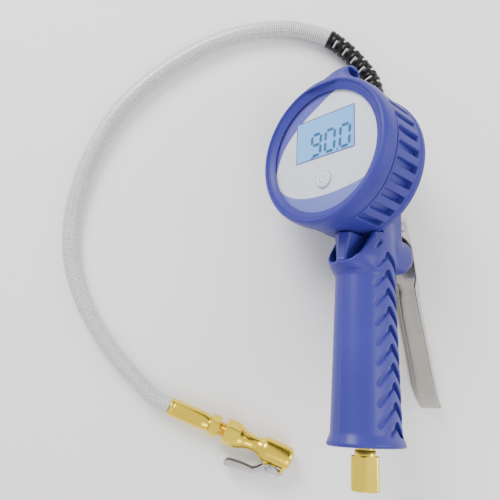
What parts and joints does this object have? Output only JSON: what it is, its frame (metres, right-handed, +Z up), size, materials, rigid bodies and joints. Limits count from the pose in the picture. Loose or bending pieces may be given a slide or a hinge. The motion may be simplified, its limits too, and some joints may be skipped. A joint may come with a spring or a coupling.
{
  "type": "tyre inflator with gauge",
  "caption": "Pistol-grip tyre inflator: round digital gauge head in a ribbed boot, hollow grip with a pressed-steel trigger lever, threaded air inlet, braided hose and a clip-on chuck.",
  "frame": {"origin": "centre of the resting outline of the inflator without its hose and chuck, on the surface it lies on", "axes": "+Z up from the surface; +Y along the inflator, from the air inlet towards the gauge head; +X to the side of the trigger lever"},
  "size_m": [0.2946, 0.3514, 0.107],
  "materials": {
    "boot_rubber": "satin moulded rubber, deep blue",
    "housing_blue": "moulded, lightly textured, deep blue",
    "black_plastic": "moulded, black",
    "plate_steel": "pressed sheet",
    "screw_steel": "zinc plated",
    "cell_steel": "nickel plated",
    "board_green": "solder mask",
    "lcd_glass": "backlit display",
    "dial_print": "printed dial, pale grey with two violet bands",
    "lens_clear": "clear cover",
    "button_grey": "moulded",
    "sensor_metal": "can",
    "brass": "turned",
    "cast_zinc": "die-cast",
    "seal_rubber": "moulded",
    "stem_steel": "turned",
    "spring_steel": "wire",
    "lever_steel": "pressed, brushed, warm grey",
    "relief_rubber": "moulded, black",
    "hose_braid": "clear cover over a silver braid",
    "clip_steel": "pressed, nickel plated"
  },
  "bodies": {
    "tool": {"gauge_boot": "boot_rubber", "gauge_case": "black_plastic", "rear_plate": "plate_steel", "rear_screws": "screw_steel", "battery_door": "black_plastic", "coin_cell": "cell_steel", "circuit_board": "board_green", "button_switch": "black_plastic", "lcd_module": "lcd_glass", "dial_plate": "dial_print", "face_lens": "lens_clear", "pressure_sensor": "sensor_metal", "sensor_tube": "brass", "grip_housing": "housing_blue", "valve_body": "cast_zinc", "valve_plug": "brass", "valve_seal": "seal_rubber", "valve_spring": "spring_steel", "lever_pin": "stem_steel", "air_tube": "cast_zinc", "inlet_fitting": "brass", "inlet_screen": "spring_steel", "hose_fitting": "brass", "strain_relief": "relief_rubber", "hose": "hose_braid", "hose_ferrule": "brass", "hose_nut": "brass", "chuck_body": "brass", "chuck_seal": "seal_rubber", "chuck_core": "stem_steel", "clip_pin": "clip_steel", "clip_spring": "spring_steel"},
    "trigger": {"trigger_lever": "lever_steel"},
    "stem": {"valve_stem": "stem_steel"},
    "button": {"power_button": "button_grey"},
    "clip": {"chuck_clip": "clip_steel", "clip_jaw": "brass"}
  },
  "joints": [
    {"name": "trigger", "type": "hinge", "parent": "tool", "child": "trigger", "pos_m": [0.02679, 0.02824, 0.01753], "axis": [-0.6947, -0.1373, -0.7061], "range_deg": [0, 8], "stiffness_Nm_per_rad": 4, "springref_deg": -17.19},
    {"name": "valve_stem", "type": "slide", "parent": "tool", "child": "stem", "axis": [-0.7193, 0.1325, 0.6819], "range_m": [0, 0.0033], "deforming": ["valve_spring"]},
    {"name": "power_button", "type": "slide", "parent": "tool", "child": "button", "axis": [0.7193, -0.1325, -0.6819], "range_m": [0, 0.0006], "stiffness_N_per_m": 600, "springref_m": -0.0005},
    {"name": "chuck_clip", "type": "hinge", "parent": "tool", "child": "clip", "pos_m": [-0.05829, -0.15233, 0.009], "axis": [0, 0, -1], "range_deg": [0, 14], "stiffness_Nm_per_rad": 0.6, "springref_deg": -14.32}
  ],
  "couplings": [
    {"joint": "valve_stem", "follows": "trigger", "m_per_rad": 0.023}
  ]
}
